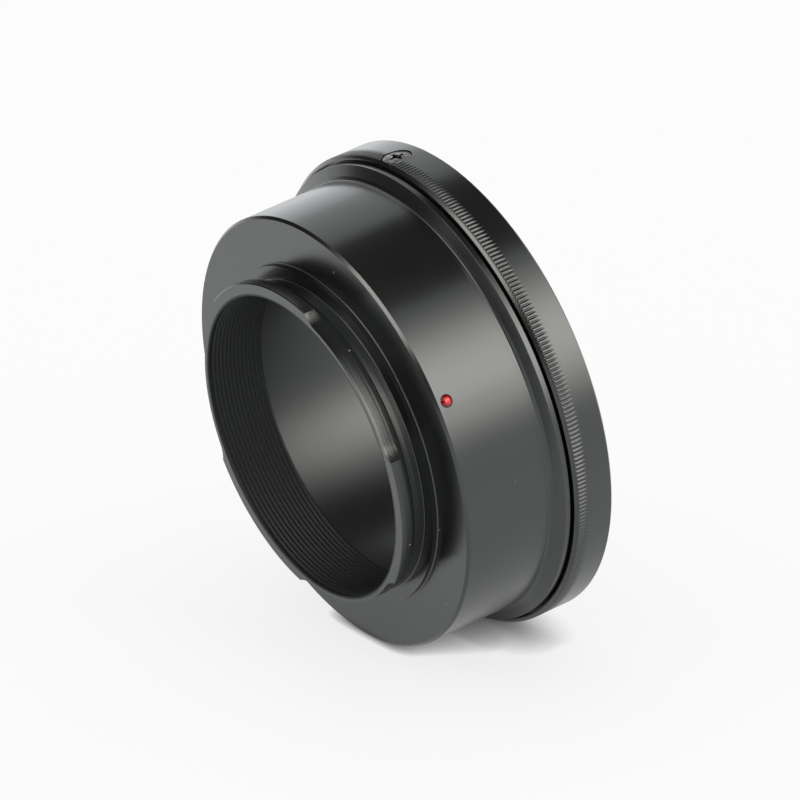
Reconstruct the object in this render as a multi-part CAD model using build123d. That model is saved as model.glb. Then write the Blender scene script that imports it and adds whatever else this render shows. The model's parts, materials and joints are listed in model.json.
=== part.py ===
from build123d import *
import math
import os

os.makedirs("parts", exist_ok=True)

# Lens mount adapter, lens side down, camera side up, optical axis on Z.
# Millimetres and degrees. Angle 0 is +X, the camera index dot is on -Y.

# Heights of the two seats
seat_z = 0.0
seat_to_seat = 24.0
flange_z = seat_z + seat_to_seat

# Barrel
barrel_r = 29.4
barrel_len = 12.94
flange_chamfer = 0.35
step_z = flange_z - barrel_len
step_fillet = 0.3
step_rise = 1.8
step_slope = 0.9
step_width = 2.06
step_edge_round = 0.08
step_back_bevel = 0.45
step_r = barrel_r + step_rise
step_edge_z = step_z - step_slope
step_back_z = step_z - step_width

# Camera bayonet
bore_r = 20.5
tube_len = 4.9
tube_wall = 0.77
rim_bevel = 0.1
rim_z = flange_z + tube_len
gap_r = bore_r + tube_wall
collar_wall = 0.7
collar_taper = 0.15
collar_r = bore_r + collar_wall
collar_front_r = collar_r - collar_taper
relief_depth = 0.15
relief_width = 0.7
relief_r = collar_front_r - relief_depth
lug_rise = 0.95
lug_width = 1.5
lug_foot = 0.48
lug_front_chamfer = 0.12
lug_r = gap_r + lug_rise
lug_back_z = rim_z - lug_width
lug_foot_z = lug_back_z - lug_foot
relief_back_z = lug_foot_z - relief_width
register_rise = 1.79
register_len = 0.75
register_r = collar_r + register_rise
register_z = flange_z + register_len
collar_fillet = 0.12
register_fillet = 0.18
cutter_r = 3.5
cutter_over = 1.0
lug_spans = [(-153.2, -102.7), (-43.2, 18.8), (87.8, 138.8)]

# Lock pin slot in the camera flange, midway between register and barrel
lock_slot_r = (register_r + barrel_r) / 2
lock_slot_d = 2.4
lock_slot_span = 4.0
lock_slot_depth = 2.2
lock_slot_angle = 112.0

# Light grooves in the bore
groove_pitch = 0.59
groove_count = 13
groove_depth = 0.16
groove_open = 0.5
groove_margin = 0.44
groove_top_z = rim_z - groove_margin

# Spigot behind the step
spigot_setback = 1.5
spigot_wall = 3.0
spigot_r = barrel_r - spigot_setback
cavity_r = spigot_r - spigot_wall

# Lens flange
flange_len = 3.4
plate_len = 0.95
breech_len = 1.25
throat_setback = 0.9
neck_wall = 1.2
breech_rise = 1.0
plate_overlap = 1.9
spigot_end_z = seat_z + flange_len
plate_front_z = spigot_end_z - plate_len
breech_back_z = seat_z + breech_len
throat_r = cavity_r - throat_setback
neck_r = throat_r + neck_wall
breech_r = neck_r + breech_rise
plate_r = spigot_r + plate_overlap
breech_chamfer = 0.2
throat_chamfer = 0.2
breech_spans = [(62.0, 118.0), (182.0, 238.0), (302.0, 358.0)]
key_notch_w = 3.0
key_notch_depth = 0.7
key_notch_angle = 90.0

# Lock ring
ring_play = 0.05
ring_axial_play = 0.1
ring_travel = 40.0
ring_over_step = 0.93
ring_edge_taper = 0.47
ring_cup_play = 0.3
ring_floor_play = 0.05
ring_overlap = 0.14
ring_edge_len = 0.3
ring_cup_depth = 0.86
ring_rim_chamfer = 0.25
ring_bore_chamfer = 0.15
knurl_width = 1.88
knurl_depth = 0.17
ring_bore_r = spigot_r + ring_play
ring_r = step_r + ring_over_step
ring_edge_r = ring_r - ring_edge_taper
ring_cup_r = step_r + ring_cup_play
ring_cup_inner_r = step_r + ring_floor_play
ring_front_z = step_back_z + ring_overlap
ring_edge_z = ring_front_z - ring_edge_len
ring_cup_z = ring_front_z - ring_cup_depth
ring_floor_z = step_back_z - ring_axial_play
ring_low_z = spigot_end_z + ring_axial_play
knurl_back_z = ring_edge_z - knurl_width

# Screw that joins lock ring and aperture ring
screw_angle = -23.0
screw_knurl_gap = 0.04
screw_d = 2.0
screw_head_rim = 0.85
screw_head_h = 1.0
screw_dome = 0.12
screw_tip_chamfer = 0.3
screw_pocket_play = 0.12
screw_head_sink = 0.02
screw_reach = 2.2
screw_play = 0.03
screw_tip_play = 0.2
slot_play = 0.2
slot_over = 0.6
cross_w = 0.42
cross_over = 0.1
cross_depth = 0.75
cross_mouth_d = 1.2
cross_floor_d = 0.8
screw_z = knurl_back_z + screw_knurl_gap
screw_head_d = screw_d + 2 * screw_head_rim
screw_pocket_d = screw_head_d + 2 * screw_pocket_play
screw_tip_r = cavity_r - screw_reach
head_floor_r = ring_r - screw_head_sink - screw_head_h
cross_len = screw_d + cross_over

# Rear cavity and the aperture ring in it
cavity_top_z = screw_z + screw_d / 2
aperture_play = 0.06
aperture_axial_play = 0.1
aperture_setback = 0.05
aperture_chamfer = 0.2
aperture_r = cavity_r - aperture_play
aperture_inner_r = bore_r + aperture_setback
aperture_top_z = cavity_top_z - aperture_axial_play
aperture_low_z = spigot_end_z + aperture_axial_play
pin_d = 1.6
pin_inset = 2.0
pin_reach = 2.7
pin_seat = 2.4
pin_chamfer = 0.25
pin_angle_offset = 30.0
pin_place_r = cavity_r - pin_inset
pin_low_z = spigot_end_z - pin_reach

# Click ball and its spring
ball_d = 1.3
ball_angle = 157.0
ball_below_screw = 1.0
ball_play = 0.05
ball_rise = 0.27
ball_hole_depth = 2.55
track_clear = 0.08
track_over = 0.4
track_lead = 2.0
track_narrow = 0.03
pocket_extra = 0.15
pocket_play = 0.1
spring_wire_d = 0.16
spring_coils = 4
spring_side_play = 0.2
ball_z = screw_z - ball_below_screw
ball_hole_d = ball_d + 2 * ball_play
ball_hole_floor_r = spigot_r - ball_hole_depth
track_half = ball_d / 2 - track_narrow
spring_d = ball_hole_d - 2 * spring_side_play

# Flange screws, in the plate between the breech lugs
flange_screw_d = 1.6
flange_screw_head_rim = 0.55
flange_screw_gap = 0.15
flange_screw_reach = 2.6
flange_tap_depth = 3.0
flange_screw_chamfer = 0.25
flange_screw_sink = 0.05
flange_screw_play = 0.02
flange_screw_angles = [30.0, 150.0, 270.0]
flange_cross_w = 0.36
flange_cross_inset = 0.05
flange_cross_depth = 0.5
flange_screw_head_d = flange_screw_d + 2 * flange_screw_head_rim
flange_screw_place_r = neck_r + flange_screw_head_d / 2 + flange_screw_gap
flange_screw_z = plate_front_z + flange_screw_sink
flange_screw_end_z = spigot_end_z + flange_screw_reach
flange_cross_len = flange_screw_d - 2 * flange_cross_inset

# Index dots
camera_dot_angle = -90.0
camera_dot_inset = 1.62
camera_dot_z = flange_z - camera_dot_inset
dot_d = 1.7
dot_stem_depth = 0.8
dot_rise = 0.42
dot_play = 0.01
lens_dot_place_r = (neck_r + plate_r) / 2
lens_dot_angle = 12.0
lens_dot_d = 1.6
lens_dot_rise = 0.3
lens_dot_stem = 0.6


def turned(points, rounds=()):
    """Solid of revolution about Z from an outline of radius and height pairs, some corners rounded."""
    outline = make_face(Polyline(*points, close=True))
    for corner, radius in rounds:
        outline = fillet(outline.vertices().sort_by_distance(corner)[0], radius)
    return revolve(Plane.XZ * outline, Axis.Z)


def turned_arc(points, start, span):
    """The same outline turned only part of the way round."""
    outline = Plane.XZ * make_face(Polyline(*points, close=True))
    part_turn = revolve(outline, Axis.Z, revolution_arc=span)
    return Rot(0, 0, start) * part_turn


def radial_rod(diameter, r_in, r_out, angle, height):
    """Round rod that points outwards from the axis."""
    rod = Cylinder(diameter / 2, r_out - r_in)
    placed = Pos((r_in + r_out) / 2, 0, height) * Rot(0, 90, 0) * rod
    return Rot(0, 0, angle) * placed


def cross_cut(width, length, depth):
    """Cross recess that opens upwards from the XY plane."""
    arm = Box(length, width, depth, align=(Align.CENTER, Align.CENTER, Align.MAX))
    other = Rot(0, 0, 90) * arm
    return arm + other


def domed(points, rise):
    """Solid turned about Z from an outline that ends in a dome of the given rise."""
    edge, foot = points[-1]
    dome_radius = (edge * edge + rise * rise) / (2 * rise)
    centre = foot + rise - dome_radius
    half = math.asin(edge / dome_radius) / 2
    middle = (dome_radius * math.sin(half), centre + dome_radius * math.cos(half))
    crown = (0, foot + rise)
    rim = Polyline(*points) + ThreePointArc(points[-1], middle, crown) + Line(crown, points[0])
    return revolve(Plane.XZ * make_face(rim), Axis.Z)


def domed_dot(diameter, rise, stem):
    """Domed bead on a round stem, dome upwards from the XY plane."""
    edge = diameter / 2
    return domed([(0, -stem), (edge, -stem), (edge, 0)], rise)


# Adapter body: bayonet, flange, barrel, step and spigot turned in one piece
body_outline = [
    (bore_r + rim_bevel, rim_z),
    (lug_r - lug_front_chamfer, rim_z),
    (lug_r, rim_z - lug_front_chamfer),
    (lug_r, lug_back_z),
    (collar_r, lug_foot_z),
    (relief_r, lug_foot_z),
    (relief_r, relief_back_z),
    (collar_front_r, relief_back_z),
    (collar_r, register_z),
    (register_r, register_z),
    (register_r, flange_z),
    (barrel_r - flange_chamfer, flange_z),
    (barrel_r, flange_z - flange_chamfer),
    (barrel_r, step_z),
    (step_r, step_edge_z),
    (step_r, step_back_z + step_back_bevel),
    (step_r - step_back_bevel, step_back_z),
    (spigot_r, step_back_z),
    (spigot_r, spigot_end_z),
    (cavity_r, spigot_end_z),
    (cavity_r, cavity_top_z),
    (bore_r, cavity_top_z),
]
for i in reversed(range(groove_count)):
    top = groove_top_z - i * groove_pitch
    body_outline.append((bore_r, top - groove_open))
    body_outline.append((bore_r + groove_depth, top - groove_open / 2))
    body_outline.append((bore_r, top))
body_outline.append((bore_r, rim_z - rim_bevel))
body_rounds = [
    ((collar_r, register_z), collar_fillet),
    ((register_r, flange_z), register_fillet),
    ((barrel_r, step_z), step_fillet),
    ((step_r, step_edge_z), step_edge_round),
]
adapter_body = turned(body_outline, body_rounds)

# Milled gaps between the three lugs, with the round ends that the cutter leaves
cut_centre_r = gap_r + cutter_r
lead_cos = (cut_centre_r**2 + lug_r**2 - cutter_r**2) / (2 * cut_centre_r * lug_r)
lead = math.degrees(math.acos(lead_cos))
for i in range(len(lug_spans)):
    gap_start = lug_spans[i][1] + lead
    gap_end = lug_spans[(i + 1) % len(lug_spans)][0] - lead
    gap_span = (gap_end - gap_start) % 360
    path = CenterArc((0, 0), cut_centre_r, gap_start, gap_span)
    cut = extrude(SlotArc(path, 2 * cutter_r), rim_z - lug_foot_z + cutter_over)
    adapter_body -= Pos(0, 0, lug_foot_z) * cut

# Slot that takes the lock pin of the camera
lock_path = CenterArc((0, 0), lock_slot_r, lock_slot_angle, lock_slot_span)
lock_cut = extrude(SlotArc(lock_path, lock_slot_d), lock_slot_depth + cutter_over)
adapter_body -= Pos(0, 0, flange_z - lock_slot_depth) * lock_cut

# Arc slot in the spigot that the ring screw travels in
slot_d = screw_d + 2 * slot_play
slot_r_in = cavity_r - slot_over
slot_r_out = spigot_r + slot_over
slot_box = [
    (slot_r_in, screw_z - slot_d / 2),
    (slot_r_out, screw_z - slot_d / 2),
    (slot_r_out, screw_z + slot_d / 2),
    (slot_r_in, screw_z + slot_d / 2),
]
adapter_body -= turned_arc(slot_box, screw_angle, ring_travel)
adapter_body -= radial_rod(slot_d, slot_r_in, slot_r_out, screw_angle, screw_z)
adapter_body -= radial_rod(slot_d, slot_r_in, slot_r_out, screw_angle + ring_travel, screw_z)

# Blind hole of the click ball
adapter_body -= radial_rod(ball_hole_d, ball_hole_floor_r, spigot_r + slot_over, ball_angle, ball_z)

# Tapped holes for the flange screws
tap_d = flange_screw_d + 2 * flange_screw_play
for angle in flange_screw_angles:
    tap = Cylinder(tap_d / 2, flange_tap_depth, align=(Align.CENTER, Align.CENTER, Align.MIN))
    adapter_body -= Rot(0, 0, angle) * Pos(flange_screw_place_r, 0, spigot_end_z) * tap

# Seat of the camera index dot
dot_seat_d = dot_d + 2 * dot_play
dot_floor_r = barrel_r - dot_stem_depth
adapter_body -= radial_rod(dot_seat_d, dot_floor_r, barrel_r + cutter_over, camera_dot_angle, camera_dot_z)
export_step(adapter_body, "parts/adapter_body.step")

# Lock ring
lock_ring = turned([
    (ring_bore_r, ring_low_z + ring_bore_chamfer),
    (ring_bore_r + ring_bore_chamfer, ring_low_z),
    (ring_r - ring_rim_chamfer, ring_low_z),
    (ring_r, ring_low_z + ring_rim_chamfer),
    (ring_r, knurl_back_z),
    (ring_r - knurl_depth, knurl_back_z),
    (ring_r - knurl_depth, ring_edge_z),
    (ring_edge_r, ring_front_z),
    (ring_cup_r, ring_front_z),
    (ring_cup_r, ring_cup_z),
    (ring_cup_inner_r, ring_cup_z),
    (ring_cup_inner_r, ring_floor_z),
    (ring_bore_r, ring_floor_z),
])

# Arc track for the click ball, with a deeper pocket at each end of the travel
ball_tip_r = spigot_r + ball_rise
track_r = ball_tip_r + track_clear
track_box = [
    (ring_bore_r - track_over, ball_z - track_half),
    (track_r, ball_z - track_half),
    (track_r, ball_z + track_half),
    (ring_bore_r - track_over, ball_z + track_half),
]
lock_ring -= turned_arc(track_box, ball_angle - ring_travel - track_lead, ring_travel + 2 * track_lead)
pocket_r = track_r + pocket_extra
pocket_ball_r = ball_d / 2 + pocket_play
for angle in (ball_angle - ring_travel, ball_angle):
    pocket = Pos(pocket_r - pocket_ball_r, 0, ball_z) * Sphere(pocket_ball_r)
    lock_ring -= Rot(0, 0, angle) * pocket

# Screw pocket and clearance hole in the lock ring
hole_d = screw_d + 2 * screw_play
lock_ring -= radial_rod(screw_pocket_d, head_floor_r, ring_r + cutter_over, screw_angle, screw_z)
lock_ring -= radial_rod(hole_d, ring_bore_r - cutter_over, ring_r, screw_angle, screw_z)
export_step(lock_ring, "parts/lock_ring.step")

# Aperture ring with its driving pin
aperture_ring = turned([
    (aperture_inner_r, aperture_low_z),
    (aperture_r - aperture_chamfer, aperture_low_z),
    (aperture_r, aperture_low_z + aperture_chamfer),
    (aperture_r, aperture_top_z - aperture_chamfer),
    (aperture_r - aperture_chamfer, aperture_top_z),
    (aperture_inner_r, aperture_top_z),
])
tip_hole_r = screw_tip_r - screw_tip_play
aperture_ring -= radial_rod(hole_d, tip_hole_r, aperture_r + cutter_over, screw_angle, screw_z)
pin_angle = screw_angle + pin_angle_offset
pin_hole = Cylinder(pin_d / 2, pin_seat + cutter_over, align=(Align.CENTER, Align.CENTER, Align.MIN))
aperture_ring -= Rot(0, 0, pin_angle) * Pos(pin_place_r, 0, aperture_low_z - cutter_over) * pin_hole
export_step(aperture_ring, "parts/aperture_ring.step")

pin_top_z = aperture_low_z + pin_seat
pin_body = Cylinder(pin_d / 2, pin_top_z - pin_low_z, align=(Align.CENTER, Align.CENTER, Align.MIN))
pin_body = chamfer(pin_body.edges().group_by(Axis.Z)[0], pin_chamfer)
aperture_pin = Rot(0, 0, pin_angle) * Pos(pin_place_r, 0, pin_low_z) * pin_body
export_step(aperture_pin, "parts/aperture_pin.step")

# Ring screw: pan head, cross recess and plain shank, built along Z and then laid radially
shank_len = head_floor_r - screw_tip_r
screw = domed([
    (0, -shank_len),
    (screw_d / 2 - screw_tip_chamfer, -shank_len),
    (screw_d / 2, -shank_len + screw_tip_chamfer),
    (screw_d / 2, 0),
    (screw_head_d / 2, 0),
    (screw_head_d / 2, screw_head_h - screw_dome),
], screw_dome)
screw -= Pos(0, 0, screw_head_h) * cross_cut(cross_w, cross_len, cross_depth)
top = (Align.CENTER, Align.CENTER, Align.MAX)
screw -= Pos(0, 0, screw_head_h) * Cone(cross_floor_d / 2, cross_mouth_d / 2, cross_depth, align=top)
ring_screw = Rot(0, 0, screw_angle) * Pos(head_floor_r, 0, screw_z) * Rot(0, 90, 0) * screw
export_step(ring_screw, "parts/ring_screw.step")

# Lens flange with three breech lugs on its rim
lens_flange = turned([
    (throat_r, seat_z + throat_chamfer),
    (throat_r + throat_chamfer, seat_z),
    (breech_r - breech_chamfer, seat_z),
    (breech_r, seat_z + breech_chamfer),
    (breech_r, breech_back_z),
    (neck_r, breech_back_z),
    (neck_r, plate_front_z),
    (plate_r - breech_chamfer, plate_front_z),
    (plate_r, plate_front_z + breech_chamfer),
    (plate_r, spigot_end_z),
    (throat_r, spigot_end_z),
])
rim_cut = [
    (neck_r, seat_z - cutter_over),
    (breech_r + cutter_over, seat_z - cutter_over),
    (breech_r + cutter_over, plate_front_z),
    (neck_r, plate_front_z),
]
for i in range(len(breech_spans)):
    open_start = breech_spans[i][1]
    open_span = (breech_spans[(i + 1) % len(breech_spans)][0] - open_start) % 360
    lens_flange -= turned_arc(rim_cut, open_start, open_span)
notch = Box(2 * key_notch_depth, key_notch_w, 2 * breech_back_z)
lens_flange -= Rot(0, 0, key_notch_angle) * Pos(breech_r, 0, seat_z) * notch

# Countersunk holes of the flange screws
cone_h = (flange_screw_head_d - flange_screw_d) / 2
for angle in flange_screw_angles:
    low = (Align.CENTER, Align.CENTER, Align.MIN)
    hole = Cylinder(tap_d / 2, plate_len + cutter_over, align=low)
    cone = Pos(0, 0, flange_screw_sink) * Cone(
        flange_screw_head_d / 2 + flange_screw_play, tap_d / 2, cone_h, align=low)
    mouth = Cylinder(flange_screw_head_d / 2 + flange_screw_play, flange_screw_sink, align=low)
    lens_flange -= Rot(0, 0, angle) * Pos(flange_screw_place_r, 0, plate_front_z) * (hole + cone + mouth)

# Seat of the lens index dot on the open part of the plate
lens_dot_seat_r = lens_dot_d / 2 + dot_play
lens_dot_seat = Cylinder(lens_dot_seat_r, lens_dot_stem, align=(Align.CENTER, Align.CENTER, Align.MIN))
lens_flange -= Rot(0, 0, lens_dot_angle) * Pos(lens_dot_place_r, 0, plate_front_z) * lens_dot_seat
export_step(lens_flange, "parts/lens_flange.step")

# Flange screws: countersunk heads with a cross recess
flange_screws = []
for angle in flange_screw_angles:
    low = (Align.CENTER, Align.CENTER, Align.MIN)
    stem = Cylinder(flange_screw_d / 2, flange_screw_end_z - flange_screw_z, align=low)
    stem = chamfer(stem.edges().group_by(Axis.Z)[-1], flange_screw_chamfer)
    cone = Cone(flange_screw_head_d / 2, flange_screw_d / 2, cone_h, align=low)
    one = stem + cone
    one -= Rot(180, 0, 0) * cross_cut(flange_cross_w, flange_cross_len, flange_cross_depth)
    flange_screws.append(Rot(0, 0, angle) * Pos(flange_screw_place_r, 0, flange_screw_z) * one)
export_step(Compound(children=flange_screws), "parts/flange_screws.step")

# Index dots
bead = domed_dot(dot_d, dot_rise, dot_stem_depth)
camera_index_dot = Rot(0, 0, camera_dot_angle) * Pos(barrel_r, 0, camera_dot_z) * Rot(0, 90, 0) * bead
export_step(camera_index_dot, "parts/camera_index_dot.step")

lens_bead = domed_dot(lens_dot_d, lens_dot_rise, lens_dot_stem)
lens_bead = Pos(lens_dot_place_r, 0, plate_front_z) * Rot(180, 0, 0) * lens_bead
lens_index_dot = Rot(0, 0, lens_dot_angle) * lens_bead
export_step(lens_index_dot, "parts/lens_index_dot.step")

# Click ball and the coil spring behind it
ball_r = ball_tip_r - ball_d / 2
detent_ball = Rot(0, 0, ball_angle) * Pos(ball_r, 0, ball_z) * Sphere(ball_d / 2)
export_step(detent_ball, "parts/detent_ball.step")

spring_start = ball_hole_floor_r + spring_wire_d / 2
spring_touch = ball_d / 2 + spring_wire_d / 2
spring_inner_r = spring_d / 2 - spring_wire_d / 2
spring_end = ball_r - math.sqrt(spring_touch**2 - spring_inner_r**2)
spring_len = spring_end - spring_start
coil_r = (spring_d - spring_wire_d) / 2
coil = Helix(spring_len / spring_coils, spring_len, coil_r)
wire = sweep(Plane(coil @ 0, z_dir=coil % 0) * Circle(spring_wire_d / 2), coil)
detent_spring = Rot(0, 0, ball_angle) * Pos(spring_start, 0, ball_z) * Rot(0, 90, 0) * wire
export_step(detent_spring, "parts/detent_spring.step")
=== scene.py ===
import json
import math

import bpy
from mathutils import Matrix, Vector

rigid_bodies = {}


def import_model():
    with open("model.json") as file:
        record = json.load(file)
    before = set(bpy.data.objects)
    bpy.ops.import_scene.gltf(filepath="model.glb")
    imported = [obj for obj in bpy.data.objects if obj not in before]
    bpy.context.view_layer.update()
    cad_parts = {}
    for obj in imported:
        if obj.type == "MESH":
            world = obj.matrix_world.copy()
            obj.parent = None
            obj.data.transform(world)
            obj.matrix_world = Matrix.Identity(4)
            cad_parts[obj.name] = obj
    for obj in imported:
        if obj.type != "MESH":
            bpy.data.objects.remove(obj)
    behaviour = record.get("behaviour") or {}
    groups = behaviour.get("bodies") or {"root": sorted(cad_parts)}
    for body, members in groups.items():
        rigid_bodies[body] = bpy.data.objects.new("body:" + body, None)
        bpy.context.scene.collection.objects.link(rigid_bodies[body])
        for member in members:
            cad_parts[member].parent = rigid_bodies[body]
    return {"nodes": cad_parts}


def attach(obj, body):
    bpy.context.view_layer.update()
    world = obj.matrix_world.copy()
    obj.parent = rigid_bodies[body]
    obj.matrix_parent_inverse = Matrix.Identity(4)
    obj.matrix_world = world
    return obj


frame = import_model()

bl_info = {
    "name": "Lens Mount Adapter",
    "version": (1, 0, 0),
    "blender": (4, 5, 0),
    "location": "View3D > Sidebar > Adapter",
    "description": "Finishes, knurling and studio of a lens mount adapter",
    "category": "Object",
}

MM = 0.001
OPTICAL_AXIS = Vector((0, 0, 1))

# The shoulder of the step falls 0.9 mm over a width of 1.8 mm
STEP_SLOPE = math.atan(0.9 / 1.8)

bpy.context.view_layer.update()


def linear(code):
    """Linear red, green, blue and alpha of an sRGB hex colour."""
    channels = [int(code[i:i + 2], 16) / 255 for i in (1, 3, 5)]
    return [c / 12.92 if c <= 0.04045 else ((c + 0.055) / 1.055) ** 2.4 for c in channels] + [1.0]


def add_node(tree, kind, inputs=(), **settings):
    """Adds a node, sets its properties, and fills or links its inputs."""
    node = tree.nodes.new(kind)
    for name, value in settings.items():
        setattr(node, name, value)
    for socket, value in dict(inputs).items():
        if isinstance(value, bpy.types.NodeSocket):
            tree.links.new(value, node.inputs[socket])
        else:
            node.inputs[socket].default_value = value
    return node


def new_material(name):
    """An empty node material and its tree."""
    material = bpy.data.materials.new(name)
    material.use_nodes = True
    material.node_tree.nodes.clear()
    return material, material.node_tree


def finish_nodes(material, *names):
    """Gives a material to the solids of these names."""
    for name in names:
        mesh = frame["nodes"][name].data
        mesh.materials.clear()
        mesh.materials.append(material)


def mesh_piece(name, points, faces, material):
    """A mesh object at the origin with one material."""
    mesh = bpy.data.meshes.new(name)
    mesh.from_pydata(points, [], faces)
    mesh.materials.append(material)
    piece = bpy.data.objects.new(name, mesh)
    bpy.context.scene.collection.objects.link(piece)
    return piece


class FinishColours(bpy.types.PropertyGroup):
    """Colours of the surfaces."""
    anodised: bpy.props.FloatVectorProperty(
        name="Anodised", description="Dyed oxide layer of the aluminium",
        subtype="COLOR", size=4, min=0, max=1, default=linear("#111212"))
    anodised_pale: bpy.props.FloatVectorProperty(
        name="Pale anodised", description="Places where the dye took less",
        subtype="COLOR", size=4, min=0, max=1, default=linear("#191a1a"))
    sheen: bpy.props.FloatVectorProperty(
        name="Sheen", description="Cool cast of the shine on the oxide layer",
        subtype="COLOR", size=4, min=0, max=1, default=linear("#f7fcff"))
    dust: bpy.props.FloatVectorProperty(
        name="Dust", description="Specks of dust on the metal",
        subtype="COLOR", size=4, min=0, max=1, default=linear("#9a9a94"))
    # Painted light and shade: the dots fade from a bright red crown to a dark red rim, as light falls on a
    # dome
    enamel: bpy.props.FloatVectorProperty(
        name="Enamel", description="Red of the index dots at the crown",
        subtype="COLOR", size=4, min=0, max=1, default=linear("#c2141c"))
    enamel_painted_rim_shade: bpy.props.FloatVectorProperty(
        name="Enamel rim", description="Red of the index dots at the rim",
        subtype="COLOR", size=4, min=0, max=1, default=linear("#2e0808"))
    black_steel: bpy.props.FloatVectorProperty(
        name="Blackened steel", description="Oxidised steel of the screws",
        subtype="COLOR", size=4, min=0, max=1, default=linear("#424143"))
    bright_steel: bpy.props.FloatVectorProperty(
        name="Bright steel", description="Plain steel of pin, ball and spring",
        subtype="COLOR", size=4, min=0, max=1, default=linear("#b4b2ae"))


class FilletSizes(bpy.types.PropertyGroup):
    """Sizes of the rounded corner between the barrel and its step."""
    corner_r: bpy.props.FloatProperty(
        name="Barrel radius", description="Radius of the barrel above the corner",
        unit="LENGTH", default=29.4 * MM)
    corner_z: bpy.props.FloatProperty(
        name="Corner height", description="Height of the sharp corner",
        unit="LENGTH", default=11.06 * MM)
    slope: bpy.props.FloatProperty(
        name="Slope", description="Fall of the step's shoulder below a level face",
        subtype="ANGLE", default=STEP_SLOPE)
    radius: bpy.props.FloatProperty(
        name="Radius", description="Radius of the rounded corner",
        unit="LENGTH", default=0.3 * MM)
    lift: bpy.props.FloatProperty(
        name="Lift", description="Height over the true round, which covers the facets of the solid",
        unit="LENGTH", default=0.047 * MM)
    tail: bpy.props.FloatProperty(
        name="Tail", description="Length past both ends of the round",
        unit="LENGTH", default=0.35 * MM)


class KnurlSizes(bpy.types.PropertyGroup):
    """Sizes of the straight knurling on the lock ring."""
    ribs: bpy.props.IntProperty(
        name="Ribs", description="Number of ribs round the ring", min=40, default=342)
    crest_r: bpy.props.FloatProperty(
        name="Crest radius", description="Radius over the ribs",
        unit="LENGTH", default=32.128 * MM)
    height: bpy.props.FloatProperty(
        name="Height", description="Height of the ribs over the turned band",
        unit="LENGTH", default=0.16 * MM)
    groove: bpy.props.FloatProperty(
        name="Groove depth", description="Depth of the grooves between the ribs",
        unit="LENGTH", default=0.14 * MM)
    groove_half: bpy.props.FloatProperty(
        name="Groove half width", description="Half the width of a groove as a share of the pitch",
        subtype="FACTOR", min=0.05, max=0.5, default=0.33)
    low_z: bpy.props.FloatProperty(
        name="Rib start", description="Height of the end next to the plain band",
        unit="LENGTH", default=6.94 * MM)
    high_z: bpy.props.FloatProperty(
        name="Rib end", description="Height of the crests at the front chamfer",
        unit="LENGTH", default=8.67 * MM)
    run_out: bpy.props.FloatProperty(
        name="Run-out", description="Length over which the grooves rise to the plain band",
        unit="LENGTH", default=0.8 * MM)
    pocket_angle: bpy.props.FloatProperty(
        name="Pocket angle", description="Place of the screw pocket",
        subtype="ANGLE", default=math.radians(-23))
    pocket_z: bpy.props.FloatProperty(
        name="Pocket height", description="Height of the screw pocket",
        unit="LENGTH", default=7.0 * MM)
    pocket_r: bpy.props.FloatProperty(
        name="Pocket radius", description="Radius of the screw pocket",
        unit="LENGTH", default=1.97 * MM)


class StudioLevels(bpy.types.PropertyGroup):
    """Levels and colours of the studio."""
    right_box: bpy.props.FloatProperty(
        name="Right soft box", description="Radiance of the soft box on the right, where 1 is white",
        default=4.9)
    left_box: bpy.props.FloatProperty(
        name="Left soft box", description="Radiance of the soft box on the left, where 1 is white",
        default=5.0)
    back_light: bpy.props.FloatProperty(
        name="Back light", description="Radiance of the wide lamp behind the table", default=0.65)
    warm: bpy.props.FloatVectorProperty(
        name="Warm", description="Colour of the two soft boxes",
        subtype="COLOR", size=3, min=0, max=1, default=linear("#fffbee")[:3])
    cool: bpy.props.FloatVectorProperty(
        name="Cool", description="Colour of the back light",
        subtype="COLOR", size=3, min=0, max=1, default=linear("#f0f8ff")[:3])
    fill: bpy.props.FloatProperty(
        name="Fill", description="Level of the even light from all round", default=0.6)
    table: bpy.props.FloatVectorProperty(
        name="Table", description="Colour of the table's matt surface",
        subtype="COLOR", size=4, min=0, max=1, default=linear("#9a9a9a"))
    table_glow: bpy.props.FloatProperty(
        name="Table glow", description="White that the table keeps in soft shadow",
        subtype="FACTOR", default=0.78)
    contact: bpy.props.FloatProperty(
        name="Contact", description="Reach of the dark shadow where the part touches the table",
        unit="LENGTH", default=5 * MM)
    card: bpy.props.FloatVectorProperty(
        name="Card", description="Colour of the dark cards",
        subtype="COLOR", size=4, min=0, max=1, default=linear("#202020"))


# Where the finish changes: edge of the bore, outside of the bayonet tube, and start of the light grooves
BORE_EDGE_R = 20.8 * MM
TUBE_EDGE_R = 23.05 * MM
GROOVES_Z = 20.6 * MM


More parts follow.
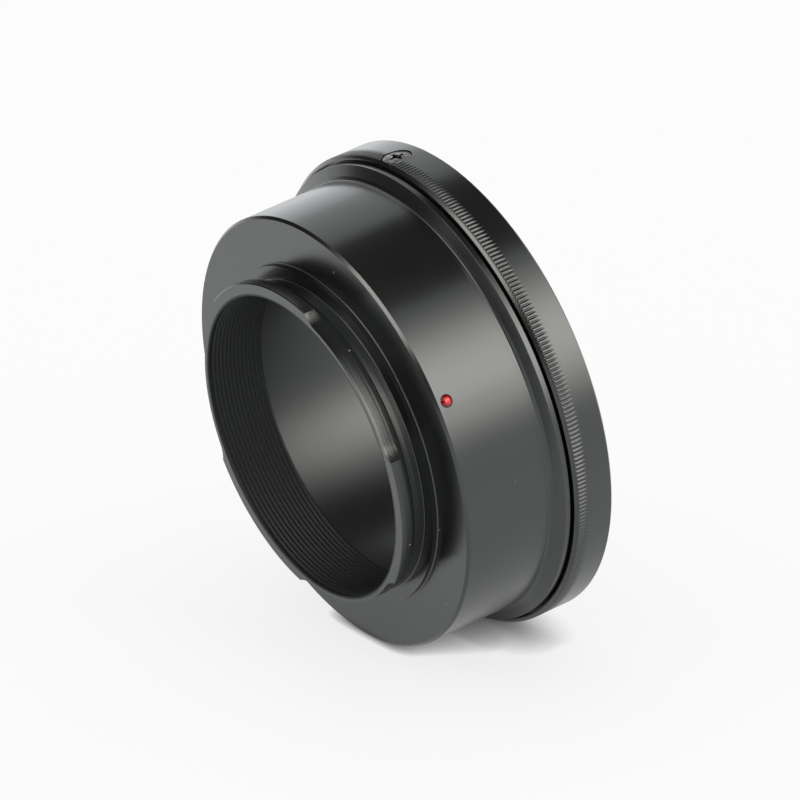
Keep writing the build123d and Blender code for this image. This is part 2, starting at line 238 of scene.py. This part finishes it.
# Black anodised aluminium: a dyed oxide layer on turned metal, a deep grey black with a soft, clear shine,
# fine rings from the turning tool, a slightly uneven dye and a few specks of dust, and matt inside the bore
def anodised_aluminium():
    colours = bpy.context.scene.adapter_colours
    material, tree = new_material("black_anodised_aluminium")
    place = add_node(tree, "ShaderNodeTexCoord").outputs["Object"]
    flat = add_node(tree, "ShaderNodeVectorMath", {0: place, 1: (1, 1, 0)}, operation="MULTIPLY")
    radius = add_node(tree, "ShaderNodeVectorMath", {
        0: flat.outputs[0]}, operation="LENGTH").outputs["Value"]
    height = add_node(tree, "ShaderNodeSeparateXYZ", {0: place}).outputs["Z"]
    inside = add_node(tree, "ShaderNodeMath", {
        0: radius, 1: BORE_EDGE_R}, operation="LESS_THAN").outputs[0]
    within = add_node(tree, "ShaderNodeMath", {
        0: radius, 1: TUBE_EDGE_R}, operation="LESS_THAN").outputs[0]

    # Turning marks, coarser than real ones so that they show, which change slowly round the part
    # and are deepest on the bayonet tube
    mark_width = 0.6 * MM
    mark_change = 25 * MM
    mark_depth = 0.02 * MM
    rings = add_node(tree, "ShaderNodeCombineXYZ", {"X": radius, "Y": height})
    drift = add_node(tree, "ShaderNodeVectorMath", {0: place, "Scale": 1 / mark_change}, operation="SCALE")
    marks_at = add_node(tree, "ShaderNodeVectorMath", {
        0: rings.outputs[0], 1: [1 / mark_width] * 3, 2: drift.outputs[0]}, operation="MULTIPLY_ADD")
    marks = add_node(tree, "ShaderNodeTexNoise", {
        "Vector": marks_at.outputs[0], "Scale": 1.0, "Detail": 2.0, "Roughness": 0.6})
    on_tube = add_node(tree, "ShaderNodeMath", {0: within, 1: inside}, operation="SUBTRACT")
    cut = add_node(tree, "ShaderNodeMapRange", {
        "Value": on_tube.outputs[0], "To Min": 0.25, "To Max": 1.0})
    bump = add_node(tree, "ShaderNodeBump", {
        "Strength": cut.outputs[0], "Distance": mark_depth, "Height": marks.outputs["Fac"]})

    # Uneven dye in wide patches
    dye_patch = 9 * MM
    dye = add_node(tree, "ShaderNodeTexNoise", {"Vector": place, "Scale": 1 / dye_patch, "Detail": 3.0})
    tone = add_node(tree, "ShaderNodeMix", {
        "Factor": dye.outputs["Fac"], "A": colours.anodised, "B": colours.anodised_pale},
        data_type="RGBA")

    # Dust: one speck in each cell, of which few reach the surface
    dust_cell = 5 * MM
    speck_r = 0.16 * MM
    speck_core_r = 0.08 * MM
    specks = add_node(tree, "ShaderNodeTexVoronoi", {
        "Vector": place, "Scale": 1 / dust_cell, "Randomness": 1.0})
    dusty = add_node(tree, "ShaderNodeMapRange", {
        "Value": specks.outputs["Distance"],
        "From Min": speck_r / dust_cell, "From Max": speck_core_r / dust_cell})
    colour = add_node(tree, "ShaderNodeMix", {
        "Factor": dusty.outputs[0], "A": tone.outputs["Result"], "B": colours.dust}, data_type="RGBA")

    # Shine: clear outside, matt in the bore, and more so in the light grooves, which are also made partly
    # metallic over the dark colour so that they reflect less
    blend = 0.1 * MM
    groove_matt = 0.17
    dye_matt = 0.06
    groove_loss = 0.55
    matt = add_node(tree, "ShaderNodeMapRange", {
        "Value": radius, "From Min": BORE_EDGE_R - blend, "From Max": BORE_EDGE_R + blend,
        "To Min": 0.33, "To Max": 0.2})
    high = add_node(tree, "ShaderNodeMath", {0: height, 1: GROOVES_Z}, operation="GREATER_THAN")
    grooved = add_node(tree, "ShaderNodeMath", {0: high.outputs[0], 1: inside}, operation="MULTIPLY")
    dull = add_node(tree, "ShaderNodeMath", {
        0: grooved.outputs[0], 1: groove_matt, 2: matt.outputs[0]}, operation="MULTIPLY_ADD")
    rubbed = add_node(tree, "ShaderNodeMath", {
        0: dye.outputs["Fac"], 1: dye_matt, 2: dull.outputs[0]}, operation="MULTIPLY_ADD")
    swallowed = add_node(tree, "ShaderNodeMath", {
        0: grooved.outputs[0], 1: groove_loss}, operation="MULTIPLY")
    shader = add_node(tree, "ShaderNodeBsdfPrincipled", {
        "Base Color": colour.outputs["Result"], "Metallic": swallowed.outputs[0],
        "Roughness": rubbed.outputs[0], "IOR": 1.65, "Specular Tint": colours.sheen,
        "Normal": bump.outputs[0]})
    add_node(tree, "ShaderNodeOutputMaterial", {"Surface": shader.outputs[0]})
    return material


class ADAPTER_OT_body(bpy.types.Operator):
    """Finish the turned aluminium pieces: body, lock ring, lens flange and aperture ring"""
    bl_idname = "adapter.body"
    bl_label = "Turned Pieces"

    def execute(self, context):
        finish_nodes(anodised_aluminium(), "adapter_body", "lens_flange", "aperture_ring", "lock_ring")
        return {"FINISHED"}


def turned_sheet(name, outline, turns, material):
    """Smooth open sheet turned about Z from an outline of radius and height pairs."""
    points = []
    faces = []
    count = len(outline)
    for i in range(turns):
        angle = 2 * math.pi * i / turns
        points += [(r * math.cos(angle), r * math.sin(angle), z) for r, z in outline]
        here = i * count
        there = (i + 1) % turns * count
        faces += [(here + k, here + k + 1, there + k + 1, there + k) for k in range(count - 1)]
    sheet = mesh_piece(name, points, faces, material)
    sheet.data.polygons.foreach_set("use_smooth", [True] * len(faces))
    return sheet


class ADAPTER_OT_fillet(bpy.types.Operator):
    """Lay a finely divided round in the corner between barrel and step"""
    bl_idname = "adapter.fillet"
    bl_label = "Step Fillet"

    def execute(self, context):
        sizes = context.scene.adapter_fillet
        turns = 720
        steps = 10

        # Both ends of the round lie at the same reach from the sharp corner
        half_corner = (math.pi / 2 + sizes.slope) / 2
        reach = sizes.radius / math.tan(half_corner)
        centre_r = sizes.corner_r + sizes.radius
        centre_z = sizes.corner_z + reach
        arc_r = sizes.radius - sizes.lift
        sweep = math.pi - 2 * half_corner
        angles = [math.pi + sweep * k / steps for k in range(steps + 1)]

        # The outline runs down the barrel, round the corner and out along the shoulder
        end = reach + sizes.tail
        end_r = sizes.corner_r + end * math.cos(sizes.slope)
        end_z = sizes.corner_z - end * math.sin(sizes.slope)
        outline = [(sizes.corner_r, centre_z + sizes.tail)]
        outline += [(centre_r + arc_r * math.cos(a), centre_z + arc_r * math.sin(a)) for a in angles]
        outline += [(end_r, end_z)]
        metal = bpy.data.materials["black_anodised_aluminium"]
        sheet = turned_sheet("step_fillet", outline, turns, metal)
        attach(sheet, "adapter_body")
        return {"FINISHED"}


def knurl_tree():
    """Node tree that rolls a ribbed strip round a ring and trims it at a round pocket."""
    tree = bpy.data.node_groups.new("straight_knurl", "GeometryNodeTree")
    wanted = (
        ("Ribs", "NodeSocketInt"), ("Crest Radius", "NodeSocketFloat"), ("Height", "NodeSocketFloat"),
        ("Groove Depth", "NodeSocketFloat"), ("Groove Half Width", "NodeSocketFloat"),
        ("Low End", "NodeSocketFloat"), ("High End", "NodeSocketFloat"), ("Run-out", "NodeSocketFloat"),
        ("Pocket Angle", "NodeSocketFloat"), ("Pocket Height", "NodeSocketFloat"),
        ("Pocket Radius", "NodeSocketFloat"), ("Material", "NodeSocketMaterial"),
    )
    for name, kind in wanted:
        tree.interface.new_socket(name, in_out="INPUT", socket_type=kind)
    tree.interface.new_socket("Geometry", in_out="OUTPUT", socket_type="NodeSocketGeometry")
    given = add_node(tree, "NodeGroupInput").outputs
    position = add_node(tree, "GeometryNodeInputPosition").outputs[0]
    strip_place = add_node(tree, "ShaderNodeSeparateXYZ", {0: position})
    rows = 14
    points_per_rib = 10

    # Each row names a value, the operation that gives it, and the values or numbers that it takes
    sums = (
        # The strip has its whole length and width between -0.5 and 0.5, and one point more than the
        # ribs need, because its ends meet
        ("rib_points", "MULTIPLY", "Ribs", points_per_rib),
        ("columns", "ADD", "rib_points", 1.0),
        ("along", "ADD", "strip_x", 0.5),
        ("across", "ADD", "strip_y", 0.5),
        ("angle", "MULTIPLY", "along", 2 * math.pi),

        # Its last row closes the front end, and the others share out the height
        ("closing", "GREATER_THAN", "across", 1 - 0.5 / (rows - 1)),
        ("stretched", "MULTIPLY", "across", (rows - 1) / (rows - 2)),
        ("share", "MINIMUM", "stretched", 1.0),

        # It starts at the plain band, or at the rim of the pocket
        ("from_pocket", "SUBTRACT", "angle", "Pocket Angle"),
        ("pocket_sine", "SINE", "from_pocket"),
        ("aside", "MULTIPLY", "pocket_sine", "Crest Radius"),
        ("aside_square", "POWER", "aside", 2.0),
        ("pocket_square", "POWER", "Pocket Radius", 2.0),
        ("room", "SUBTRACT", "pocket_square", "aside_square"),
        ("pocket_cosine", "COSINE", "from_pocket"),
        ("same_side", "GREATER_THAN", "pocket_cosine", 0.0),
        ("in_reach", "GREATER_THAN", "room", 0.0),
        ("at_pocket", "MULTIPLY", "same_side", "in_reach"),
        ("room_left", "MAXIMUM", "room", 0.0),
        ("rim_rise", "SQRT", "room_left"),
        ("rim_z", "ADD", "Pocket Height", "rim_rise"),
        ("rim_here", "MULTIPLY", "rim_z", "at_pocket"),
        ("start_z", "MAXIMUM", "Low End", "rim_here"),
        ("lost", "GREATER_THAN", "start_z", "High End"),

        # Heights from the start to the front end
        ("length", "SUBTRACT", "High End", "start_z"),
        ("rise", "MULTIPLY", "share", "length"),
        ("level", "ADD", "start_z", "rise"),

        # Flat ribs and pointed grooves, which run out to a tip at the plain band
        ("pitches", "MULTIPLY", "along", "Ribs"),
        ("pitch_share", "FRACT", "pitches"),
        ("off_middle", "SUBTRACT", "pitch_share", 0.5),
        ("beside", "ABSOLUTE", "off_middle"),
        ("flank", "DIVIDE", "beside", "Groove Half Width"),
        ("over_band", "SUBTRACT", "level", "Low End"),
        ("risen", "DIVIDE", "over_band", "Run-out"),
        ("full", "MINIMUM", "risen", 1.0),
        ("open_share", "SUBTRACT", "full", "flank"),
        ("deep", "MAXIMUM", "open_share", 0.0),
        ("groove", "MULTIPLY", "deep", "Groove Depth"),
        ("front", "MULTIPLY", "closing", "Height"),
        ("sunk", "MAXIMUM", "groove", "front"),

        # Place on the ring
        ("radius", "SUBTRACT", "Crest Radius", "sunk"),
        ("cosine", "COSINE", "angle"),
        ("sine", "SINE", "angle"),
        ("place_x", "MULTIPLY", "cosine", "radius"),
        ("place_y", "MULTIPLY", "sine", "radius"),
        ("front_slant", "MULTIPLY", "sunk", "share"),
        ("place_z", "ADD", "level", "front_slant"),
    )
    values = {name: given[name] for name, kind in wanted}
    values["strip_x"] = strip_place.outputs["X"]
    values["strip_y"] = strip_place.outputs["Y"]
    for name, operation, *terms in sums:
        inputs = {i: values.get(term, term) for i, term in enumerate(terms)}
        values[name] = add_node(tree, "ShaderNodeMath", inputs, operation=operation).outputs[0]

    strip = add_node(tree, "GeometryNodeMeshGrid", {
        "Size X": 1.0, "Size Y": 1.0, "Vertices X": values["columns"], "Vertices Y": rows})
    kept = add_node(tree, "GeometryNodeDeleteGeometry", {
        "Geometry": strip.outputs["Mesh"], "Selection": values["lost"]})
    rolled_place = add_node(tree, "ShaderNodeCombineXYZ", {
        "X": values["place_x"], "Y": values["place_y"], "Z": values["place_z"]})
    rolled = add_node(tree, "GeometryNodeSetPosition", {
        "Geometry": kept.outputs[0], "Position": rolled_place.outputs[0]})
    joined = add_node(tree, "GeometryNodeMergeByDistance", {
        "Geometry": rolled.outputs[0], "Distance": 0.001 * MM})
    smooth = add_node(tree, "GeometryNodeSetShadeSmooth", {"Geometry": joined.outputs[0]})
    solid = add_node(tree, "GeometryNodeRealizeInstances", {"Geometry": smooth.outputs[0]})
    painted = add_node(tree, "GeometryNodeSetMaterial", {
        "Geometry": solid.outputs[0], "Material": given["Material"]})
    add_node(tree, "NodeGroupOutput", {"Geometry": painted.outputs[0]})
    return tree


def made_by_nodes(name, tree, values):
    """Plain mesh piece from a node tree, its inputs set by socket identifier."""
    holder = bpy.data.objects.new(name, bpy.data.meshes.new(name + "_start"))
    bpy.context.scene.collection.objects.link(holder)
    modifier = holder.modifiers.new(name, "NODES")
    modifier.node_group = tree
    for socket in tree.interface.items_tree:
        if socket.in_out == "INPUT":
            modifier[socket.identifier] = values[socket.name]
    ready = holder.evaluated_get(bpy.context.evaluated_depsgraph_get())
    mesh = bpy.data.meshes.new_from_object(ready)
    holder.modifiers.clear()
    holder.data = mesh
    if not mesh.polygons:
        raise RuntimeError(name + " came out empty")
    return holder


class ADAPTER_OT_knurl(bpy.types.Operator):
    """Stand the ribs of the knurling on the lock ring"""
    bl_idname = "adapter.knurl"
    bl_label = "Knurling"

    def execute(self, context):
        sizes = context.scene.adapter_knurl
        ribs = made_by_nodes("knurl_ribs", knurl_tree(), {
            "Ribs": sizes.ribs, "Crest Radius": sizes.crest_r, "Height": sizes.height,
            "Groove Depth": sizes.groove, "Groove Half Width": sizes.groove_half, "Low End": sizes.low_z,
            "High End": sizes.high_z, "Run-out": sizes.run_out, "Pocket Angle": sizes.pocket_angle,
            "Pocket Height": sizes.pocket_z, "Pocket Radius": sizes.pocket_r,
            "Material": bpy.data.materials["black_anodised_aluminium"]})
        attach(ribs, "lock_ring")
        return {"FINISHED"}


# Blackened steel: a thin oxide on machined steel, dark grey, with bright glints where a driver wore it off
def blackened_steel():
    colours = bpy.context.scene.adapter_colours
    material, tree = new_material("blackened_steel")
    place = add_node(tree, "ShaderNodeTexCoord").outputs["Object"]
    worn_patch = 0.6 * MM
    scratch_depth = 0.05 * MM
    patches = add_node(tree, "ShaderNodeTexNoise", {
        "Vector": place, "Scale": 1 / worn_patch, "Detail": 2.0})
    worn = add_node(tree, "ShaderNodeMapRange", {
        "Value": patches.outputs["Fac"], "From Min": 0.5, "From Max": 0.9})
    colour = add_node(tree, "ShaderNodeMix", {
        "Factor": worn.outputs[0], "A": colours.black_steel, "B": colours.bright_steel},
        data_type="RGBA")
    scratches = add_node(tree, "ShaderNodeBump", {
        "Strength": 1.0, "Distance": scratch_depth, "Height": patches.outputs["Fac"]})
    shader = add_node(tree, "ShaderNodeBsdfPrincipled", {
        "Base Color": colour.outputs["Result"], "Metallic": 1.0, "Roughness": 0.3,
        "Normal": scratches.outputs[0]})
    add_node(tree, "ShaderNodeOutputMaterial", {"Surface": shader.outputs[0]})
    return material


# Bright steel: hardened and ground, a clear grey metal with fine cloudy grinding marks
def bright_steel():
    colours = bpy.context.scene.adapter_colours
    material, tree = new_material("bright_ground_steel")
    place = add_node(tree, "ShaderNodeTexCoord").outputs["Object"]
    grinding_mark = 0.3 * MM
    ground = add_node(tree, "ShaderNodeTexNoise", {
        "Vector": place, "Scale": 1 / grinding_mark, "Detail": 3.0})
    shine = add_node(tree, "ShaderNodeMapRange", {
        "Value": ground.outputs["Fac"], "To Min": 0.14, "To Max": 0.3})
    shader = add_node(tree, "ShaderNodeBsdfPrincipled", {
        "Base Color": colours.bright_steel, "Metallic": 1.0, "Roughness": shine.outputs[0]})
    add_node(tree, "ShaderNodeOutputMaterial", {"Surface": shader.outputs[0]})
    return material


class ADAPTER_OT_steel(bpy.types.Operator):
    """Finish the steel pieces: screws, pin, click ball and spring"""
    bl_idname = "adapter.steel"
    bl_label = "Steel Pieces"

    def execute(self, context):
        finish_nodes(blackened_steel(), "ring_screw", "flange_screws")
        finish_nodes(bright_steel(), "aperture_pin", "detent_ball", "detent_spring")
        return {"FINISHED"}


# Crowns of the camera dot and of the lens dot
CAMERA_DOT_CROWN = Vector((0, -29.82, 22.38)) * MM
LENS_DOT_CROWN = Vector((26.9, 5.72, 2.15)) * MM


# Red enamel: a drop of clear coloured lacquer, with painted light in its bright red crown and painted shade
# at its dark rim
def red_enamel():
    colours = bpy.context.scene.adapter_colours
    material, tree = new_material("red_enamel")
    place = add_node(tree, "ShaderNodeTexCoord").outputs["Object"]
    bright_r = 0.25 * MM
    rim_r = 0.85 * MM
    from_crowns = [
        add_node(tree, "ShaderNodeVectorMath", {0: place, 1: crown}, operation="DISTANCE")
        for crown in (CAMERA_DOT_CROWN, LENS_DOT_CROWN)]
    nearest = add_node(tree, "ShaderNodeMath", {
        i: node.outputs["Value"] for i, node in enumerate(from_crowns)}, operation="MINIMUM")
    # Painted shade: the red darkens from the crown out to the rim of each dot
    rim = add_node(tree, "ShaderNodeMapRange", {
        "Value": nearest.outputs[0], "From Min": bright_r, "From Max": rim_r},
        interpolation_type="SMOOTHSTEP")
    colour = add_node(tree, "ShaderNodeMix", {
        "Factor": rim.outputs[0], "A": colours.enamel, "B": colours.enamel_painted_rim_shade}, data_type="RGBA")
    shader = add_node(tree, "ShaderNodeBsdfPrincipled", {
        "Base Color": colour.outputs["Result"], "Metallic": 0.0, "Roughness": 0.1, "IOR": 1.5})
    add_node(tree, "ShaderNodeOutputMaterial", {"Surface": shader.outputs[0]})
    return material


class ADAPTER_OT_dots(bpy.types.Operator):
    """Finish the two red index dots"""
    bl_idname = "adapter.dots"
    bl_label = "Index Dots"

    def execute(self, context):
        finish_nodes(red_enamel(), "camera_index_dot", "lens_index_dot")
        return {"FINISHED"}


# The part lies on its side, and touches the table with its lock ring and the front edge of its barrel
TABLE_UP = Vector((0.88678, -0.42694, -0.17708)).normalized()
TABLE_MIDDLE = TABLE_UP * (-33.16 * MM)
TABLE_WIDTH = 6.0


def white_table(levels):
    """White table that looks white to the camera and in reflections, and keeps a soft shadow."""
    material, tree = new_material("white_table")
    path = add_node(tree, "ShaderNodeLightPath").outputs
    mirrored = add_node(tree, "ShaderNodeMath", {
        0: path["Is Glossy Ray"], 1: path["Is Transmission Ray"]}, operation="MAXIMUM")
    seen = add_node(tree, "ShaderNodeMath", {
        0: path["Is Camera Ray"], 1: mirrored.outputs[0]}, operation="MAXIMUM")

    # In reflections the table is dimmer close to the part
    dim_r = 5 * MM
    white_r = 65 * MM
    place = add_node(tree, "ShaderNodeTexCoord").outputs["Object"]
    away = add_node(tree, "ShaderNodeVectorMath", {0: place, 1: TABLE_MIDDLE}, operation="DISTANCE")
    near = add_node(tree, "ShaderNodeMapRange", {
        "Value": away.outputs["Value"], "From Min": dim_r, "From Max": white_r,
        "To Min": 0.56, "To Max": 1.0})
    level = add_node(tree, "ShaderNodeMapRange", {
        "Value": mirrored.outputs[0], "To Min": levels.table_glow, "To Max": near.outputs[0]})

    # The dark contact shadow is thinner on the side of the camera mount
    wide_z = 14 * MM
    thin_z = 25 * MM
    thin_contact = 0.2 * levels.contact
    side = add_node(tree, "ShaderNodeSeparateXYZ", {0: place}).outputs["Z"]
    reach = add_node(tree, "ShaderNodeMapRange", {
        "Value": side, "From Min": wide_z, "From Max": thin_z,
        "To Min": levels.contact, "To Max": thin_contact})
    open_share = add_node(tree, "ShaderNodeAmbientOcclusion", {"Distance": reach.outputs[0]}, samples=8)
    strength = add_node(tree, "ShaderNodeMath", {
        0: level.outputs[0], 1: open_share.outputs["AO"]}, operation="MULTIPLY")
    matt = add_node(tree, "ShaderNodeBsdfDiffuse", {"Color": levels.table})
    glow = add_node(tree, "ShaderNodeEmission", {"Strength": strength.outputs[0]})
    both = add_node(tree, "ShaderNodeAddShader", {0: matt.outputs[0], 1: glow.outputs[0]})
    front = add_node(tree, "ShaderNodeMixShader", {
        0: seen.outputs[0], 1: matt.outputs[0], 2: both.outputs[0]})

    # From below the table is clear
    clear = add_node(tree, "ShaderNodeBsdfTransparent")
    below = add_node(tree, "ShaderNodeNewGeometry").outputs["Backfacing"]
    whole = add_node(tree, "ShaderNodeMixShader", {0: below, 1: front.outputs[0], 2: clear.outputs[0]})
    add_node(tree, "ShaderNodeOutputMaterial", {"Surface": whole.outputs[0]})
    return material


def studio_world(levels):
    """White all round to the camera and in reflections, and an even fill on the object."""
    world = bpy.data.worlds.new("studio")
    world.use_nodes = True
    tree = world.node_tree
    tree.nodes.clear()
    white = (1, 1, 1, 1)
    path = add_node(tree, "ShaderNodeLightPath").outputs
    mirrored = add_node(tree, "ShaderNodeMath", {
        0: path["Is Glossy Ray"], 1: path["Is Transmission Ray"]}, operation="MAXIMUM")
    seen = add_node(tree, "ShaderNodeMath", {
        0: path["Is Camera Ray"], 1: mirrored.outputs[0]}, operation="MAXIMUM")
    fill = add_node(tree, "ShaderNodeBackground", {"Color": white, "Strength": levels.fill})
    bright = add_node(tree, "ShaderNodeBackground", {"Color": white, "Strength": 1.0})
    both = add_node(tree, "ShaderNodeMixShader", {
        0: seen.outputs[0], 1: fill.outputs[0], 2: bright.outputs[0]})
    add_node(tree, "ShaderNodeOutputWorld", {"Surface": both.outputs[0]})
    bpy.context.scene.world = world


def sideways(facing, along):
    """Direction at right angles to a facing direction, as near as can be to along."""
    return (along - facing * along.dot(facing)).normalized()


def square_across(centre, facing, width, height):
    """Corners of a rectangle at centre that faces a direction, its width along the optical axis."""
    side = sideways(facing, OPTICAL_AXIS)
    other = facing.cross(side)
    signs = ((-1, -1), (1, -1), (1, 1), (-1, 1))
    return [centre + side * (a * width / 2) + other * (b * height / 2) for a, b in signs]


def lamp_across(name, towards, along, away, width, height, radiance, colour):
    """Soft rectangular lamp that stands in a direction, faces the object and lights only the object."""
    light = bpy.data.lights.new(name, "AREA")
    light.shape = "RECTANGLE"
    light.size = width
    light.size_y = height
    light.energy = radiance * math.pi * width * height
    light.color = colour
    lamp = bpy.data.objects.new(name, light)
    side = sideways(towards, along)
    turn = Matrix((side, towards.cross(side), towards)).transposed().to_4x4()
    lamp.matrix_world = Matrix.Translation(towards * away) @ turn
    lamp.visible_camera = False
    lamp.light_linking.receiver_collection = bpy.data.collections["lit_pieces"]
    bpy.context.scene.collection.objects.link(lamp)
    return light


def brighten_middle(light):
    """Lets a lamp fade from a bright middle to dark ends."""
    light.use_nodes = True
    tree = light.node_tree
    tree.nodes.clear()
    spot = add_node(tree, "ShaderNodeNewGeometry").outputs["Parametric"]
    rise = add_node(tree, "ShaderNodeSeparateXYZ", {0: spot}).outputs["Y"]
    turned = add_node(tree, "ShaderNodeMath", {0: rise, 1: math.pi}, operation="MULTIPLY")
    swell = add_node(tree, "ShaderNodeMath", {0: turned.outputs[0]}, operation="SINE")
    bell = add_node(tree, "ShaderNodeMath", {0: swell.outputs[0], 1: 2.0}, operation="POWER")
    glow = add_node(tree, "ShaderNodeEmission", {"Strength": bell.outputs[0]})
    add_node(tree, "ShaderNodeOutputLight", {"Surface": glow.outputs[0]})


def card_across(name, towards, away, width, height, material):
    """Dark card that is seen only in reflections and throws no shadow."""
    corners = square_across(towards * away, -towards, width, height)
    card = mesh_piece(name, corners, [(0, 1, 2, 3)], material)
    card.visible_camera = False
    card.visible_diffuse = False
    card.visible_shadow = False


# Dark cards give the black metal its deep tones: above, behind on the left, round the camera, and in
# front of both ends of the bore. Each has a direction from the part, a distance, a width and a height.
CARDS = {
    "card_above": (Vector((0.8405, -0.2894, -0.458)), 0.5, 0.6, 0.42),
    "card_behind": (Vector((0.66, 0.50, 0.54)), 0.6, 0.56, 0.48),
    "card_camera": (Vector((0.05, -0.70, 0.71)), 1.3, 1.25, 1.0),
    "card_front": (Vector((-0.05, 0.05, 1.0)), 1.2, 1.3, 1.3),
    "card_back": (Vector((0.0, 0.05, -1.0)), 1.1, 1.1, 1.1),
}

# Directions of the lamps from the part, and of the left soft box's long side
RIGHT_BOX = Vector((0.07, -0.95, -0.30)).normalized()
LEFT_BOX = Vector((0.53, -0.23, 0.82)).normalized()
LEFT_BOX_ALONG = Vector((-0.672, -0.687, 0.276))
BACK_LIGHT = Vector((0.36, 0.81, -0.454)).normalized()

# The camera looks at the camera mount and the barrel from above and in front
CAMERA_PLACE = Vector((0.06760, -0.90579, 0.47955))
CAMERA_RIGHT = Vector((-0.376923, -0.445983, -0.811806))
CAMERA_UP = Vector((0.923894, -0.118645, -0.363787))


class ADAPTER_OT_stage(bpy.types.Operator):
    """Set up the table, the light and the camera"""
    bl_idname = "adapter.stage"
    bl_label = "Studio"

    def execute(self, context):
        scene = context.scene
        levels = scene.adapter_studio
        scene.view_settings.view_transform = "Standard"
        studio_world(levels)
        corners = square_across(TABLE_MIDDLE, TABLE_UP, TABLE_WIDTH, TABLE_WIDTH)
        mesh_piece("table", corners, [(0, 1, 2, 3)], white_table(levels))

        dark, tree = new_material("dark_card")
        black = add_node(tree, "ShaderNodeBsdfDiffuse", {"Color": levels.card})
        add_node(tree, "ShaderNodeOutputMaterial", {"Surface": black.outputs[0]})
        for name, (towards, away, width, height) in CARDS.items():
            card_across(name, towards.normalized(), away, width, height, dark)

        pieces = bpy.data.collections.new("lit_pieces")
        for piece in scene.objects:
            if piece.type == "MESH" and piece.parent:
                pieces.objects.link(piece)
        right_box = lamp_across(
            "right_box", RIGHT_BOX, OPTICAL_AXIS, away=0.7, width=0.85, height=0.96,
            radiance=levels.right_box, colour=levels.warm)
        brighten_middle(right_box)
        lamp_across(
            "left_box", LEFT_BOX, LEFT_BOX_ALONG, away=0.7, width=0.44, height=0.24,
            radiance=levels.left_box, colour=levels.warm)
        lamp_across(
            "back_light", BACK_LIGHT, OPTICAL_AXIS, away=1.0, width=0.9, height=0.8,
            radiance=levels.back_light, colour=levels.cool)

        camera = bpy.data.objects.new("camera", bpy.data.cameras.new("camera"))
        camera.data.sensor_width = 36
        camera.data.lens = 360
        back = CAMERA_RIGHT.cross(CAMERA_UP)
        turn = Matrix((CAMERA_RIGHT, CAMERA_UP, back)).transposed().to_4x4()
        camera.matrix_world = Matrix.Translation(CAMERA_PLACE) @ turn
        scene.collection.objects.link(camera)
        scene.camera = camera
        return {"FINISHED"}


GROUPS = {
    "adapter_colours": FinishColours,
    "adapter_fillet": FilletSizes,
    "adapter_knurl": KnurlSizes,
    "adapter_studio": StudioLevels,
}

OPERATORS = (
    ADAPTER_OT_body,
    ADAPTER_OT_fillet,
    ADAPTER_OT_knurl,
    ADAPTER_OT_steel,
    ADAPTER_OT_dots,
    ADAPTER_OT_stage,
)


class ADAPTER_PT_panel(bpy.types.Panel):
    """Sizes, colours and steps of the adapter"""
    bl_idname = "ADAPTER_PT_panel"
    bl_label = "Lens Mount Adapter"
    bl_space_type = "VIEW_3D"
    bl_region_type = "UI"
    bl_category = "Adapter"

    def draw(self, context):
        for name, group in GROUPS.items():
            box = self.layout.box()
            values = getattr(context.scene, name)
            for value in group.__annotations__:
                box.prop(values, value)
        for operator in OPERATORS:
            self.layout.operator(operator.bl_idname)


def register():
    for kind in (*GROUPS.values(), *OPERATORS, ADAPTER_PT_panel):
        bpy.utils.register_class(kind)
    for name, group in GROUPS.items():
        setattr(bpy.types.Scene, name, bpy.props.PointerProperty(type=group))


def unregister():
    for name in GROUPS:
        delattr(bpy.types.Scene, name)
    for kind in (ADAPTER_PT_panel, *reversed(OPERATORS), *reversed(GROUPS.values())):
        bpy.utils.unregister_class(kind)


def main():
    register()
    bpy.ops.adapter.body()
    bpy.ops.adapter.fillet()
    bpy.ops.adapter.knurl()
    bpy.ops.adapter.steel()
    bpy.ops.adapter.dots()
    bpy.ops.adapter.stage()


if __name__ == "__main__":
    main()
